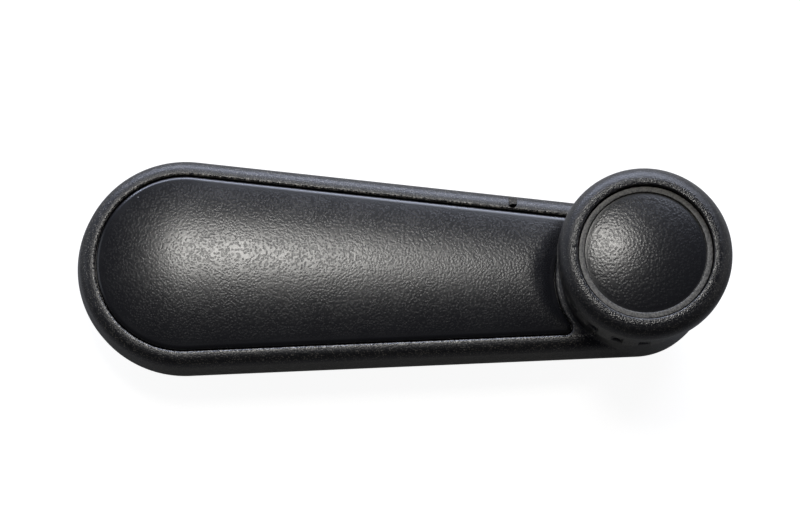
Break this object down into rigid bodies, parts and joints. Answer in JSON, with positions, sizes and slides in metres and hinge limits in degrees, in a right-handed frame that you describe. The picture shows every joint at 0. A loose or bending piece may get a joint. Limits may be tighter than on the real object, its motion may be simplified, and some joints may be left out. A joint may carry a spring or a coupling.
{
  "type": "window winder handle",
  "caption": "Car window winder handle: teardrop crank arm with a pry-off grained cover, a serrated spindle socket behind the hub and a free-spinning fluted knob.",
  "frame": {"origin": "centre of the spindle socket's mouth, on the hub's back face", "axes": "+Z along the spindle axis towards the user, +X from the hub to the knob"},
  "size_m": [0.1429, 0.0482, 0.0491],
  "materials": {
    "arm_plastic": "black moulded plastic, finely spark-eroded",
    "cover_plastic": "black moulded plastic, fine leather grain",
    "knob_plastic": "black moulded plastic, finely spark-eroded",
    "cap_plastic": "black moulded plastic, coarse worm grain",
    "insert_steel": "sintered steel, grey",
    "screw_steel": "zinc plated steel",
    "washer_steel": "zinc plated steel",
    "spring_steel": "phosphated spring steel",
    "pin_steel": "bright turned steel",
    "bush_nylon": "natural nylon"
  },
  "bodies": {
    "handle": {"crank_arm": "arm_plastic", "arm_cover": "cover_plastic", "spline_insert": "insert_steel", "retaining_screw": "screw_steel", "plain_washer": "washer_steel", "lock_washer": "spring_steel", "knob_pin": "pin_steel", "rivet_washer": "washer_steel", "thrust_washer": "bush_nylon", "bowed_spring": "spring_steel", "head_washer": "washer_steel"},
    "knob": {"knob_body": "knob_plastic", "knob_cap": "cap_plastic", "knob_bush": "bush_nylon"}
  },
  "joints": [
    {"name": "knob_spin", "type": "hinge", "parent": "handle", "child": "knob", "pos_m": [0.1, 0, 0.035], "axis": [0, 0, 1], "continuous": true}
  ]
}
